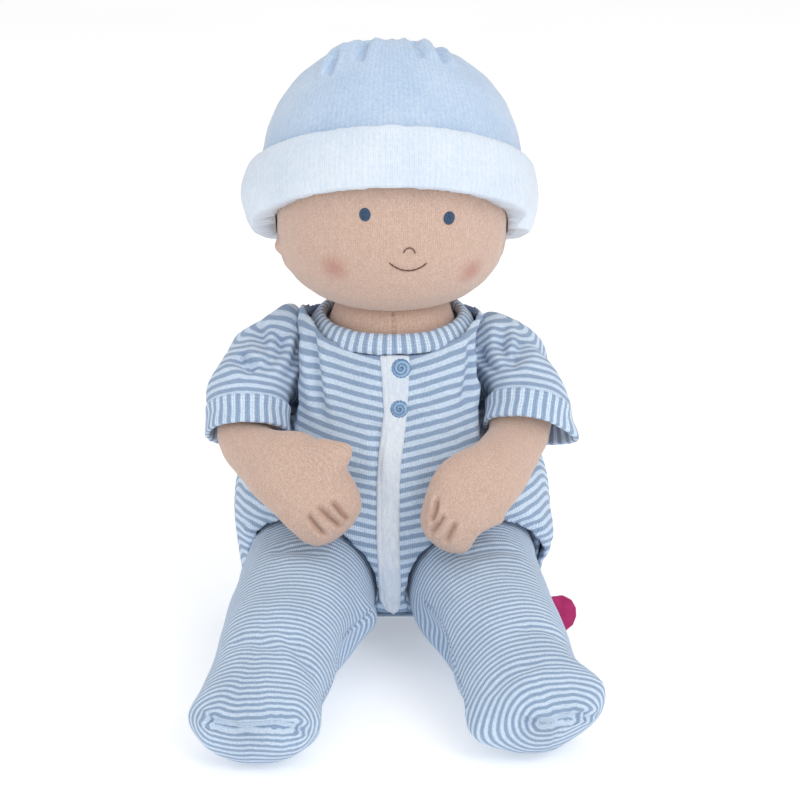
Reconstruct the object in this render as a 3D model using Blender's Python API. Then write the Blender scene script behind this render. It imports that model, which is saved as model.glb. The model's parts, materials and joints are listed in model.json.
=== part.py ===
"""Seated soft baby doll in a footed romper and a turned-up hat, with a voice module in its tummy.

Lengths are in millimetres and become metres where the meshes are made. The doll faces -Y, its left
side is +X, and it sits on the plane z = 0.
"""

import math

import bmesh
import bpy
import numpy as np
from mathutils import Matrix, Vector

for old in list(bpy.data.objects):
    bpy.data.objects.remove(old)

MM = 0.001
SHIFT_Y = 34.0  # puts the origin under the middle of the footprint
GAP = 0.4  # between neighbouring pieces
CLOTH = 2.0  # thickness of the clothes

# Head and hat
HEAD_CENTRE = np.array([0.0, 18.0, 207.0])
HEAD_HALF = (56.0, 51.0)  # half-width, half-depth
HEAD_DOWN = 51.0
HEAD_UP = 56.0
HEAD_FULLNESS = 2.5  # of the jaw, 2 is an ellipse
HAT_TILT = math.radians(31.0)
CROWN_OUTER = (61.0, 58.0, 71.0)
CROWN_WALL = 2.6
HAT_BEND = 0.0035  # the back of the hat rides up the nape
BRIM_LOW = -15.5
BRIM_HIGH = 14.0
BRIM_OUT = (67.0, 63.0)
EYE_HALF = (2.5, 3.0)
EYES = {"eye_right": (-11.8, 210.6), "eye_left": (25.0, 208.6)}

# Neck and collar
NECK = np.array([0.0, 20.0, 142.0])
NECK_R = 30.0
COLLAR_IN = 31.2
COLLAR_OUT = 38.0
COLLAR_PITCH = math.radians(4.5)

# Trunk: height, middle depth, half-width, half-depth
TRUNK = [
    (0.0, 17.0, 50.0, 34.0),
    (3.0, 16.5, 60.0, 43.0),
    (12.0, 15.5, 68.5, 49.5),
    (30.0, 15.0, 72.0, 53.0),
    (50.0, 14.5, 74.0, 53.0),
    (70.0, 14.5, 74.0, 51.0),
    (86.0, 15.5, 69.4, 48.8),
    (100.0, 16.5, 58.8, 46.6),
    (114.0, 18.0, 53.5, 44.0),
    (128.0, 19.5, 49.5, 41.0),
    (139.0, 20.5, 46.0, 38.5),
    (147.0, 21.5, 41.5, 35.0),
    (152.0, 22.0, 35.0, 30.0),
    (154.0, 22.0, 27.0, 23.0),
]
TRUNK_POWER = 2.3
SIDES = (("right", -1), ("left", 1))

# Arms: x is counted outward from the middle; then depth, height, half-width, half-thickness
SHOULDER = {"right": (54.0, 20.0, 125.0), "left": (52.5, 20.0, 125.0)}
SLEEVE_R = 22.0
SLEEVE = {
    "right": [
        (60.0, 6.0, 122.5, 18.6, 18.6),
        (63.9, -3.0, 118.3, 18.2, 18.2),
        (65.0, -7.0, 113.2, 18.0, 18.0),
    ],
    "left": [
        (56.5, 6.0, 122.5, 18.6, 18.6),
        (59.2, -3.0, 119.0, 18.2, 18.2),
        (60.1, -7.0, 113.9, 18.0, 18.0),
    ],
}
CUFF = {
    "right": [(65.2, -7.9, 111.8, 18.9, 18.9), (67.0, -14.4, 103.7, 20.0, 20.0)],
    "left": [(60.3, -7.9, 112.5, 18.9, 18.9), (61.8, -14.4, 104.4, 20.0, 20.0)],
}
ARM_R = 19.4
ARMS = {
    "right": [
        (60.0, 6.0, 122.5, 15.2, 15.2),
        (63.9, -3.0, 118.3, 14.8, 14.8),
        (65.1, -7.6, 112.3, 14.3, 14.3),
        (66.8, -15.4, 102.6, 13.4, 13.4),
        (63.0, -26.5, 98.0, 13.8, 13.2),
        (52.2, -37.0, 94.6, 16.0, 12.6),
        (43.0, -43.0, 91.0, 17.4, 12.0),
        (33.5, -49.0, 84.5, 18.2, 11.0),
        (26.8, -51.0, 76.5, 16.6, 9.5),
    ],
    "left": [
        (56.5, 6.0, 122.5, 15.2, 15.2),
        (59.2, -3.0, 119.0, 14.8, 14.8),
        (59.6, -7.8, 113.0, 14.3, 14.3),
        (60.6, -17.0, 102.6, 13.4, 12.8),
        (54.0, -33.2, 96.8, 14.0, 12.0),
        (45.0, -42.8, 92.5, 15.6, 12.2),
        (37.0, -46.5, 87.5, 17.0, 12.0),
        (30.5, -51.5, 80.0, 16.6, 11.0),
        (25.4, -53.5, 71.8, 14.5, 9.5),
    ],
}
THUMBS = {
    "right": [(37.5, -47.5, 92.5, 13.0, 7.5), (24.0, -51.0, 102.5, 7.0, 6.0)],
    "left": [(36.0, -50.5, 82.0, 7.5, 6.5), (46.0, -52.0, 76.5, 5.5, 6.0)],
}
PALM_FACES = np.array([0.0, -0.86, 0.5])

# Legs
HIP = (36.0, -8.0, 35.0)
HIP_R = 32.5
LEGS = {
    "right": [
        (39.5, -36.0, 33.0, 31.5, 29.5),
        (44.0, -62.0, 29.4, 30.5, 27.2),
        (49.0, -88.0, 26.8, 28.0, 25.0),
        (53.5, -110.0, 23.0, 26.0, 21.5),
        (56.0, -125.0, 20.5, 26.5, 19.5),
        (57.0, -139.0, 18.5, 27.0, 17.5),
    ],
    "left": [
        (39.5, -36.0, 33.0, 31.5, 29.5),
        (44.5, -60.0, 29.6, 30.5, 27.2),
        (50.0, -84.0, 27.0, 28.0, 25.0),
        (55.0, -104.0, 23.5, 26.5, 21.5),
        (58.0, -118.0, 21.5, 28.0, 19.5),
        (60.0, -131.0, 19.5, 29.0, 17.5),
    ],
}
TOE = 16.0
LEG_SPREAD = 16  # degrees a leg swings outward

# Sockets in the trunk and the small cloth gussets that line them
GUSSET = 1.0
SHOULDER_SOCKET = SLEEVE_R + 2.1
HIP_SOCKET = HIP_R + 2.2

# Voice module: a round case behind the tummy, its axis along Y
MODULE = np.array([0.0, -4.0, 84.0])  # centre of the back face
MODULE_R = 23.0
MODULE_DEEP = 18.0
WALL = 1.6
CASE_SPLIT = 10.0  # length of the back shell
BUTTON_R = 8.0
CELL = (5.8, 5.4)
CELLS = {"cell_1": (9.0, -7.6), "cell_2": (9.0, 7.6)}
SPEAKER_AT = (-10.5, 0.0)
SPEAKER_R = 9.0
DOOR = (9.0, 0.0, 13.0, 28.0)  # middle x, middle z, width, height


def collection(name, hidden=False):
    made = bpy.data.collections.new(name)
    bpy.context.scene.collection.children.link(made)
    made.hide_render = hidden
    return made


DOLL = collection("baby_doll")
CUTTERS = collection("cutters", hidden=True)
TRUNK_CUTS = collection("trunk_cuts", hidden=True)
TORSO_CUTS = collection("torso_cuts", hidden=True)
ROMPER_CUTS = collection("romper_cuts", hidden=True)


def material(name, colour, roughness):
    made = bpy.data.materials.new(name)
    made.use_nodes = True
    shader = made.node_tree.nodes["Principled BSDF"]
    shader.inputs["Base Color"].default_value = (*colour, 1.0)
    shader.inputs["Roughness"].default_value = roughness
    return made


SKIN = material("skin_knit", (0.62, 0.44, 0.36), 0.9)
STRIPE = material("striped_jersey", (0.38, 0.5, 0.66), 0.9)
VELOUR = material("blue_velour", (0.52, 0.67, 0.86), 0.9)
WHITE = material("white_knit", (0.8, 0.87, 0.95), 0.9)
EYE = material("navy_thread", (0.05, 0.09, 0.17), 0.7)
THREAD = material("brown_thread", (0.2, 0.09, 0.07), 0.8)
ROSETTE = material("blue_crochet", (0.2, 0.37, 0.6), 0.9)
LABEL = material("crimson_label", (0.55, 0.03, 0.16), 0.6)
STUFFING = material("stuffed_cloth", (0.8, 0.78, 0.74), 0.95)
GUSSET_CLOTH = material("gusset_cloth", (0.6, 0.62, 0.66), 0.9)
CASE = material("case_plastic", (0.85, 0.85, 0.83), 0.45)
BUTTON = material("button_plastic", (0.8, 0.25, 0.2), 0.4)
DARK = material("speaker_plastic", (0.04, 0.04, 0.04), 0.5)
BOARD = material("board_green", (0.02, 0.2, 0.08), 0.5)
STEEL = material("steel", (0.6, 0.6, 0.62), 0.3)


def finish(obj, surface, into=DOLL):
    into.objects.link(obj)
    if surface is None:
        obj.display_type = "WIRE"
    else:
        obj.data.materials.append(surface)
    return obj


def solid(name, points, faces, surface, into=DOLL):
    """An object from points in millimetres, with its faces turned outward."""
    mesh = bpy.data.meshes.new(name)
    placed = (np.asarray(points) + [0.0, SHIFT_Y, 0.0]) * MM
    mesh.from_pydata([tuple(p) for p in placed], [], faces)
    shape = bmesh.new()
    shape.from_mesh(mesh)
    bmesh.ops.recalc_face_normals(shape, faces=shape.faces)
    shape.to_mesh(mesh)
    shape.free()
    return finish(bpy.data.objects.new(name, mesh), surface, into)


def primitive(name, surface, centre, make, into=DOLL, **sizes):
    """A bmesh primitive whose own Z axis lies along Y of the doll, unless it is a ball or a box."""
    mesh = bpy.data.meshes.new(name)
    shape = bmesh.new()
    make(shape, **sizes)
    shape.to_mesh(mesh)
    shape.free()
    obj = bpy.data.objects.new(name, mesh)
    obj.location = (np.asarray(centre) + [0.0, SHIFT_Y, 0.0]) * MM
    return finish(obj, surface, into)


def ball(name, centre, radius, into=CUTTERS, surface=None, across=24, up=14):
    return primitive(
        name,
        surface,
        centre,
        bmesh.ops.create_uvsphere,
        into,
        u_segments=across,
        v_segments=up,
        radius=radius * MM,
    )


def drum(name, surface, start, length, radius, into=DOLL, segments=32, direction=(0.0, 1.0, 0.0)):
    """A cylinder from its start along a direction."""
    along = np.asarray(direction, float)
    along = along / np.linalg.norm(along)
    obj = primitive(
        name,
        surface,
        np.asarray(start, float) + along * length / 2,
        bmesh.ops.create_cone,
        into,
        cap_ends=True,
        segments=segments,
        radius1=radius * MM,
        radius2=radius * MM,
        depth=length * MM,
    )
    x, y, z = along
    obj.rotation_euler = (0.0, math.acos(z), math.atan2(y, x))
    return obj


def block(name, surface, low, high, into=DOLL):
    low = np.asarray(low, float)
    high = np.asarray(high, float)
    obj = primitive(name, surface, (low + high) / 2, bmesh.ops.create_cube, into, size=MM)
    obj.scale = high - low
    return obj


def cut(obj, tool, operation="DIFFERENCE"):
    boolean = obj.modifiers.new(tool.name, "BOOLEAN")
    boolean.solver = "EXACT"
    boolean.operation = operation
    if isinstance(tool, bpy.types.Collection):
        boolean.operand_type = "COLLECTION"
        boolean.collection = tool
    else:
        boolean.object = tool
    return obj


def unit(vector):
    return vector / np.linalg.norm(vector)


def superellipse(count, power):
    turn = np.arange(count) * 2 * math.pi / count
    c, s = np.cos(turn), np.sin(turn)
    return np.sign(c) * abs(c) ** (2 / power), np.sign(s) * abs(s) ** (2 / power)


def ring(centre, across, over, a, b, count, power=2.0):
    c, s = superellipse(count, power)
    return centre + np.outer(c * a, across) + np.outer(s * b, over)


def band_faces(first, second, count):
    """Quads between two rings whose points start at these indices."""
    return [
        (first + i, first + (i + 1) % count, second + (i + 1) % count, second + i)
        for i in range(count)
    ]


def loft(rings, close_start=True, close_end=True):
    count = len(rings[0])
    points = [p for one in rings for p in one]
    faces = []
    for i in range(len(rings) - 1):
        faces += band_faces(i * count, (i + 1) * count, count)
    if close_start:
        faces.append(tuple(reversed(range(count))))
    if close_end:
        faces.append(tuple(range(len(points) - count, len(points))))
    return points, faces


def shell(outer, inner, close_end):
    """A wall between two lofts, joined at the start, and at the end too unless both close there."""
    count = len(outer[0])
    points, faces = loft(outer, False, close_end)
    more, inside = loft(inner, False, close_end)
    base = len(points)
    faces += [tuple(base + i for i in face) for face in inside]
    faces += band_faces(0, base, count)
    if not close_end:
        faces += band_faces(base - count, base + len(more) - count, count)
    return points + more, faces


def smooth(stations, steps):
    """Catmull-Rom points through rows of numbers."""
    rows = np.asarray(stations, float)
    ends = np.vstack([2 * rows[0] - rows[1], rows, 2 * rows[-1] - rows[-2]])
    out = []
    for i in range(1, len(ends) - 2):
        p0, p1, p2, p3 = ends[i - 1 : i + 3]
        for t in np.arange(steps) / steps:
            out.append(
                0.5
                * (
                    2 * p1
                    + (p2 - p0) * t
                    + (2 * p0 - 5 * p1 + 4 * p2 - p3) * t**2
                    + (3 * p1 - p0 - 3 * p2 + p3) * t**3
                )
            )
    out.append(rows[-1])
    return np.array(out)


def sided(row, side):
    """A row whose x is counted outward, on the doll's left (+1) or right (-1)."""
    return np.array([row[0] * side, *row[1:]])


def limb(side, centre, radius, stations, facing, inset=0.0, open_at=14.0, end=None, count=22, steps=2):
    """Rings of a limb: a ball round the joint, then a tube through the stations, then a round end."""
    centre = sided(centre, side)
    rows = smooth([sided(row, side) for row in stations], steps)
    start = unit(rows[0, :3] - centre)
    r = radius - inset
    leave = math.degrees(math.asin((rows[0, 3] - inset) / r))
    rings = []
    for angle in np.linspace(open_at, 180 - leave, 5):
        turn = math.radians(angle)
        across = unit(np.cross(start, facing))
        at = centre - start * r * math.cos(turn)
        size = r * math.sin(turn)
        rings.append(ring(at, across, unit(np.cross(across, start)), size, size, count))
    tangents = np.gradient(rows[:, :3], axis=0)
    tangents[-1] = sided(stations[-1][:3], side) - sided(stations[-2][:3], side)
    for row, tangent in zip(rows, tangents):
        along = unit(tangent)
        across = unit(np.cross(along, facing))
        over = np.cross(across, along)
        rings.append(ring(row[:3], across, over, row[3] - inset, row[4] - inset, count))
    if end:
        for turn in np.radians([35.0, 60.0, 80.0]):
            at = rows[-1, :3] + along * (end - inset) * math.sin(turn)
            a, b = (rows[-1, 3:] - inset) * math.cos(turn)
            rings.append(ring(at, across, over, a, b, count))
    return rings


# Surfaces that flat pieces lie on


def trunk_rings(inset, count=28):
    rows = smooth(TRUNK, 2)
    low, high = inset, rows[-1, 0] - inset
    heights = low + (rows[:, 0] - rows[0, 0]) / (rows[-1, 0] - rows[0, 0]) * (high - low)
    rings = []
    for height, (_, depth, a, b) in zip(heights, rows):
        at = np.array([0.0, depth, height])
        x, y = np.eye(3)[:2]
        rings.append(ring(at, x, y, a - inset, b - inset, count, TRUNK_POWER))
    return rings


def trunk_front(x, z):
    """Depth of the romper's front at this width and height."""
    rows = smooth(TRUNK, 6)
    depth, a, b = (np.interp(z, rows[:, 0], rows[:, i]) for i in (1, 2, 3))
    inside = np.clip(1 - (abs(x) / a) ** TRUNK_POWER, 0, 1)
    return depth - b * inside ** (1 / TRUNK_POWER)


def head_scale(z):
    """Width of the head at a height, as a share of its greatest width."""
    rise = z - HEAD_CENTRE[2]
    up = np.sqrt(np.clip(1 - (rise / HEAD_UP) ** 2, 0, 1))
    down = np.clip(1 - (abs(rise) / HEAD_DOWN) ** HEAD_FULLNESS, 0, 1) ** (1 / HEAD_FULLNESS)
    return np.where(rise > 0, up, down)


def head_front(x, z):
    share = head_scale(z)
    a, b = HEAD_HALF[0] * share, HEAD_HALF[1] * share
    return HEAD_CENTRE[1] - b * np.sqrt(np.clip(1 - (x / a) ** 2, 0, 1))


def lifted(front, x, z, off):
    """The point this far off the surface in front of (x, z)."""
    step = 0.2
    y = front(x, z)
    slope_x = (front(x + step, z) - front(x - step, z)) / (2 * step)
    slope_z = (front(x, z + step) - front(x, z - step)) / (2 * step)
    normal = np.stack([slope_x, -np.ones_like(slope_x), slope_z], -1)
    normal /= np.linalg.norm(normal, axis=-1, keepdims=True)
    return np.stack([x + 0 * y, y, z + 0 * y], -1) + normal * off


def patch(name, front, x, z, off, thick, surface):
    """A flat piece over a grid of widths and heights on a surface."""
    rows, cols = x.shape
    back = lifted(front, x, z, off).reshape(-1, 3)
    face = lifted(front, x, z, off + thick).reshape(-1, 3)
    at = np.arange(rows * cols).reshape(rows, cols)
    base = rows * cols
    faces = []
    for i in range(rows - 1):
        for j in range(cols - 1):
            quad = (at[i, j], at[i, j + 1], at[i + 1, j + 1], at[i + 1, j])
            faces.append(tuple(int(q) for q in quad))
            faces.append(tuple(int(q) + base for q in reversed(quad)))
    edge = [*at[0, :-1], *at[:-1, -1], *at[-1, :0:-1], *at[:0:-1, 0]]
    for first, second in zip(edge, edge[1:] + edge[:1]):
        faces.append((int(second), int(first), int(first) + base, int(second) + base))
    return solid(name, np.vstack([back, face]), faces, surface)


def stitched_line(name, front, path, radius, surface):
    """A thread laid over a surface along (x, z) points."""
    curve = bpy.data.curves.new(name, "CURVE")
    curve.dimensions = "3D"
    curve.bevel_depth = radius * MM
    curve.bevel_resolution = 1
    curve.use_fill_caps = True
    line = curve.splines.new("POLY")
    points = lifted(front, path[:, 0], path[:, 1], radius + GAP)
    line.points.add(len(points) - 1)
    for point, (x, y, z) in zip(line.points, points):
        point.co = (x * MM, (y + SHIFT_Y) * MM, z * MM, 1.0)
    return finish(bpy.data.objects.new(name, curve), surface)


# Head, face and neck


def make_head():
    # Even steps of angle, so the jaw and the top both close smoothly.
    turns = np.radians(np.linspace(-83, 83, 15))
    rings = []
    for turn in turns:
        rise = math.sin(turn) * (HEAD_UP if turn > 0 else HEAD_DOWN)
        z = HEAD_CENTRE[2] + rise
        share = float(head_scale(z))
        x, y = np.eye(3)[:2]
        at = np.array([HEAD_CENTRE[0], HEAD_CENTRE[1], z])
        rings.append(ring(at, x, y, HEAD_HALF[0] * share, HEAD_HALF[1] * share, 28))
    head = solid("head", *loft(rings), SKIN)
    cut(head, ball("head_socket", NECK, NECK_R + GAP + 0.3))


def make_face():
    for name, (x, z) in EYES.items():
        rows = np.linspace(-1, 1, 7)[:, None]
        cols = np.linspace(-1, 1, 5)[None, :]
        # The rows of the grid close up towards the top and the bottom of the oval.
        width = np.sqrt(1 - (rows * 0.96) ** 2)
        grid_x = x + EYE_HALF[0] * cols * width
        grid_z = z + EYE_HALF[1] * rows + 0 * cols
        patch(name, head_front, grid_x, grid_z, 0.7, 0.9, EYE)
    arch = np.array([(5.0, 192.3), (6.2, 194.4), (7.8, 195.2), (9.4, 194.2), (10.4, 192.0)])
    stitched_line("nose_stitch", head_front, arch, 0.5, THREAD)
    turn = np.linspace(-1, 1, 11)
    smile = np.stack([7.4 + 8.6 * turn, 184.6 + 3.4 * turn**2 - 0.3 * turn], -1)
    stitched_line("mouth_stitch", head_front, smile, 0.5, THREAD)


def ball_rings(radius, low):
    """The neck's ball above a height."""
    start = math.degrees(math.asin((low - NECK[2]) / radius))
    rings = []
    for turn in np.radians(np.linspace(start, 82, 8)):
        x, y = np.eye(3)[:2]
        at = NECK + [0.0, 0.0, radius * math.sin(turn)]
        rings.append(ring(at, x, y, radius * math.cos(turn), radius * math.cos(turn), 28))
    return rings


def make_neck():
    solid("neck", *loft(ball_rings(NECK_R, 134.5)), SKIN)


# Hat


def hat_point(x, y, z):
    """Points of the hat's own frame, whose Z axis leans back."""
    lean_y = np.array([0.0, math.cos(HAT_TILT), -math.sin(HAT_TILT)])
    lean_z = np.array([0.0, math.sin(HAT_TILT), math.cos(HAT_TILT)])
    z = z + HAT_BEND * np.maximum(y, 0.0) ** 2
    return HEAD_CENTRE + np.outer(x, [1.0, 0.0, 0.0]) + np.outer(y, lean_y) + np.outer(z, lean_z)


def hat_ring(a, b, z, count):
    c, s = superellipse(count, 2.0)
    return hat_point(a * c, b * s, z)


def crown_rings(inset):
    a, b, c = (size - inset for size in CROWN_OUTER)
    rings = [hat_ring(a, b, BRIM_LOW + 1.5, 28)]
    for turn in np.radians(np.linspace(0, 83, 8)):
        rise = math.sin(turn)
        share = (1 - rise**2.3) ** (1 / 2.3)
        rings.append(hat_ring(a * share, b * share, c * rise, 28))
    return rings


def make_hat():
    solid("hat_crown", *shell(crown_rings(0), crown_rings(CROWN_WALL), True), VELOUR)
    middle = (BRIM_LOW + BRIM_HIGH) / 2
    half = (BRIM_HIGH - BRIM_LOW) / 2
    inside = (CROWN_OUTER[0] + GAP, CROWN_OUTER[1] + GAP)
    rings = []
    for z in (-half, -half * 0.4, half * 0.3, half):
        rings.append(hat_ring(*inside, middle + z, 32))
    # The rolled outer face of the brim bulges from edge to edge.
    for turn in np.radians([80, 50, 15, -15, -50, -80]):
        a, b = (i + 0.8 + (o - i - 0.8) * math.cos(turn) ** 0.6 for i, o in zip(inside, BRIM_OUT))
        rings.append(hat_ring(a, b, middle + half * math.sin(turn), 32))
    points, faces = loft(rings + rings[:1], False, False)
    solid("hat_brim", *weld_ends(points, faces, 32), WHITE)


def weld_ends(points, faces, count):
    """Joins the last ring of a closed band to its first."""
    last = len(points) - count
    welded = [tuple(i - last if i >= last else i for i in face) for face in faces]
    return points[:last], welded


# Trunk and what is cut from it


def swung(direction, degrees):
    turn = math.radians(degrees)
    x, y, z = direction
    return np.array(
        [x, y * math.cos(turn) - z * math.sin(turn), y * math.sin(turn) + z * math.cos(turn)]
    )


def make_trunk_cutters():
    for name, side in SIDES:
        shoulder = sided(SHOULDER[name], side)
        hip = sided(HIP, side)
        ball(f"shoulder_socket_{name}", shoulder, SHOULDER_SOCKET, TRUNK_CUTS)
        ball(f"hip_socket_{name}", hip, HIP_SOCKET, TRUNK_CUTS)
        bend = sided(SLEEVE[name][1][:3], side)
        reach = unit(bend - shoulder)
        for angle in (0, -27, -54):
            way = swung(reach, angle)
            drum(f"arm_way_{name}_{-angle}", None, shoulder, 60, 20.8, TRUNK_CUTS, 18, way)
        first, last = (sided(row[:3], side) for row in CUFF[name])
        length = np.linalg.norm(last - bend) + 11.0
        drum(f"cuff_way_{name}", None, bend, length, 21.6, TRUNK_CUTS, 18, last - first)
        reach = unit(sided(LEGS[name][0][:3], side) - hip)
        for spread in (0, LEG_SPREAD):
            outward = np.array(Matrix.Rotation(math.radians(side * spread), 3, "Z") @ Vector(reach))
            for angle in (0, 28, 56, 85):
                way = swung(outward, angle)
                drum(f"leg_way_{name}_{spread}_{angle}", None, hip, 90, 33.0, TRUNK_CUTS, 18, way)
    solid("neck_socket", *loft(ball_rings(NECK_R + GAP + 0.3, 127.5)), None, TRUNK_CUTS)
    block("crotch_arch", None, (-16, -60, -5), (16, 14, 24), TRUNK_CUTS)
    neckline = collar_point(0, 0, -3.4)
    drum("neckline", None, neckline, 40, COLLAR_OUT + GAP, TRUNK_CUTS, 36, collar_axis())


def collar_axis():
    return np.array([0.0, -math.sin(COLLAR_PITCH), math.cos(COLLAR_PITCH)])


def collar_point(x, y, z):
    forward = np.array([0.0, math.cos(COLLAR_PITCH), math.sin(COLLAR_PITCH)])
    base = np.array([0.0, 20.0, 148.0])
    return base + np.array([x, 0.0, 0.0]) + forward * y + collar_axis() * z


def make_trunk():
    make_trunk_cutters()
    torso = solid("torso", *loft(trunk_rings(CLOTH + GAP)), STUFFING)
    pocket = np.array(MODULE) + [0.0, GAP, 0.0]
    drum("module_pocket", None, pocket, 60, MODULE_R + GAP, TORSO_CUTS, 40, (0, -1, 0))
    cut(torso, TRUNK_CUTS)
    cut(torso, TORSO_CUTS)
    romper = solid("romper_body", *loft(trunk_rings(0)), STRIPE)
    solid("romper_hollow", *loft(trunk_rings(CLOTH)), None, ROMPER_CUTS)
    cut(romper, ROMPER_CUTS)
    cut(romper, TRUNK_CUTS)


def make_collar():
    """A sloping band between the neck and the romper's neckline."""
    rings = []
    for r, z in [
        (COLLAR_IN, 1.4),
        (COLLAR_IN + 0.4, 4.2),
        (COLLAR_IN + 1.6, 4.6),
        (COLLAR_IN + 3.6, 3.0),
        (COLLAR_OUT - 0.6, -0.6),
        (COLLAR_OUT - 0.2, -2.4),
        (COLLAR_OUT - 1.6, -2.9),
    ]:
        centre = collar_point(0, 0, z)
        x, y = collar_point(1, 0, z) - centre, collar_point(0, 1, z) - centre
        rings.append(ring(centre, x, y, r, r, 36))
    points, faces = loft(rings + rings[:1], False, False)
    solid("collar_band", *weld_ends(points, faces, 36), STRIPE)


def make_placket():
    z = np.linspace(141.0, 24.5, 20)
    middle = np.interp(z, [24.5, 60, 90, 125, 141], [0.6, -1.0, -0.8, 0.8, 1.4])
    half = np.interp(z, [24.5, 27, 40, 110, 141], [2.6, 4.0, 4.6, 5.2, 6.0])
    cols = np.linspace(-1, 1, 5)[None, :]
    grid_x = middle[:, None] + half[:, None] * cols
    patch("placket", trunk_front, grid_x, z[:, None] + 0 * cols, GAP, 1.3, WHITE)


def make_rosettes():
    """Domed crocheted buttons on the placket."""
    for name, x, z, r in (("button_upper", 4.0, 136.6, 3.4), ("button_lower", 3.1, 120.0, 2.9)):
        turns = np.arange(16) * 2 * math.pi / 16
        layers = [(0.0, r * 0.9), (0.9, r), (1.7, r * 0.85), (2.1, r * 0.45)]
        rings = []
        for rise, size in layers:
            xs, zs = x + size * np.cos(turns), z + size * np.sin(turns)
            rings.append(lifted(trunk_front, xs, zs, GAP + 1.3 + GAP + rise))
        solid(name, *loft(rings), ROSETTE)


def make_label():
    """A folded cloth loop standing out of the left leg's outer seam."""
    outline = [(72.6, 33.0), (78.0, 33.5), (82.0, 31.5), (84.0, 28.0), (84.2, 24.0), (82.8, 19.5)]
    outline += [(79.5, 16.2), (74.0, 14.4), (66.5, 14.2), (69.6, 19.0), (72.0, 25.5)]
    points = [(x, y, z) for y in (-39.0, -37.2) for x, z in outline]
    n = len(outline)
    faces = [tuple(range(n)), tuple(reversed(range(n, 2 * n)))]
    faces += [(i, (i + 1) % n, n + (i + 1) % n, n + i) for i in range(n)]
    solid("side_label", points, faces, LABEL)


# Limbs


def make_arm(name, side):
    stations = ARMS[name]
    rings = limb(side, SHOULDER[name], ARM_R, stations, PALM_FACES, end=9, count=18)
    arm = solid(f"{name}_arm", *loft(rings), SKIN)
    first, last = (sided(row, side) for row in THUMBS[name])
    root, tip = first[:3], last[:3]
    along = unit(tip - root)
    across = unit(np.cross(along, PALM_FACES))
    over = np.cross(across, along)
    rings = []
    for share, size in ((-0.25, 0.6), (0.0, 1.0), (0.45, 1.05), (0.85, 0.95), (1.1, 0.7), (1.25, 0.3)):
        at = root + (tip - root) * share
        a = first[3] + (last[3] - first[3]) * min(max(share, 0), 1)
        rings.append(ring(at, across, over, a * size, last[4] * size, 12))
    thumb = solid(f"{name}_thumb", *loft(rings), None, CUTTERS)
    cut(arm, thumb, "UNION")
    outer = limb(side, SHOULDER[name], SLEEVE_R, SLEEVE[name], PALM_FACES, steps=3)
    inner = limb(side, SHOULDER[name], SLEEVE_R, SLEEVE[name], PALM_FACES, CLOTH, steps=3)
    solid(f"romper_sleeve_{name}", *shell(outer[::-1], inner[::-1], True), STRIPE)
    rows = smooth([sided(row, side) for row in CUFF[name]], 2)
    along = unit(rows[-1, :3] - rows[0, :3])
    across = unit(np.cross(along, PALM_FACES))
    over = np.cross(across, along)
    wall = 2.6
    outside = [ring(r[:3], across, over, r[3], r[4], 22) for r in rows]
    inside = [ring(r[:3], across, over, r[3] - wall, r[4] - wall, 22) for r in rows]
    solid(f"cuff_{name}", *shell(outside, inside, False), STRIPE)


def make_leg(name, side):
    up = np.array([0.0, 0.0, 1.0])
    outer = limb(side, HIP, HIP_R, LEGS[name], up, 0, 40.0, TOE)
    inner = limb(side, HIP, HIP_R, LEGS[name], up, CLOTH, 40.0, TOE)
    solid(f"romper_leg_{name}", *shell(outer, inner, True), STRIPE)
    core = limb(side, HIP, HIP_R, LEGS[name], up, CLOTH + GAP, 12.0, TOE)
    solid(f"{name}_leg", *loft(core), STUFFING)


def make_gusset(name, centre, side, radius, spread):
    """A dished disc of cloth between a limb's ball and the middle of the trunk."""
    rings = []
    inward = np.array([-side, 0.0, 0.0])
    y, z = np.eye(3)[1:]
    middle = sided(centre, side)
    for r, angles in ((radius, (4, spread * 0.5, spread)), (radius + GUSSET, (spread, spread * 0.5, 4))):
        for angle in np.radians(angles):
            at = middle + inward * r * math.cos(angle)
            rings.append(ring(at, y, z, r * math.sin(angle), r * math.sin(angle), 20))
    solid(name, *loft(rings), GUSSET_CLOTH)


# Voice module


def module_at(x, y, z):
    """A point of the module: y runs from its back face towards the tummy."""
    return MODULE + np.array([x, -y, z])


def cup(name, start, length, wall_side, surface, holes):
    """Half of the round case: a drum hollowed from one end."""
    obj = drum(name, surface, module_at(0, start, 0), length, MODULE_R, DOLL, 40, (0, -1, 0))
    tools = collection(f"{name}_cuts", hidden=True)
    hollow = start - 2 if wall_side == "front" else start + WALL
    deep = length - WALL + 2
    drum(f"{name}_hollow", None, module_at(0, hollow, 0), deep, MODULE_R - WALL, tools, 40, (0, -1, 0))
    for make in holes:
        make(tools)
    cut(obj, tools)
    return obj


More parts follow.
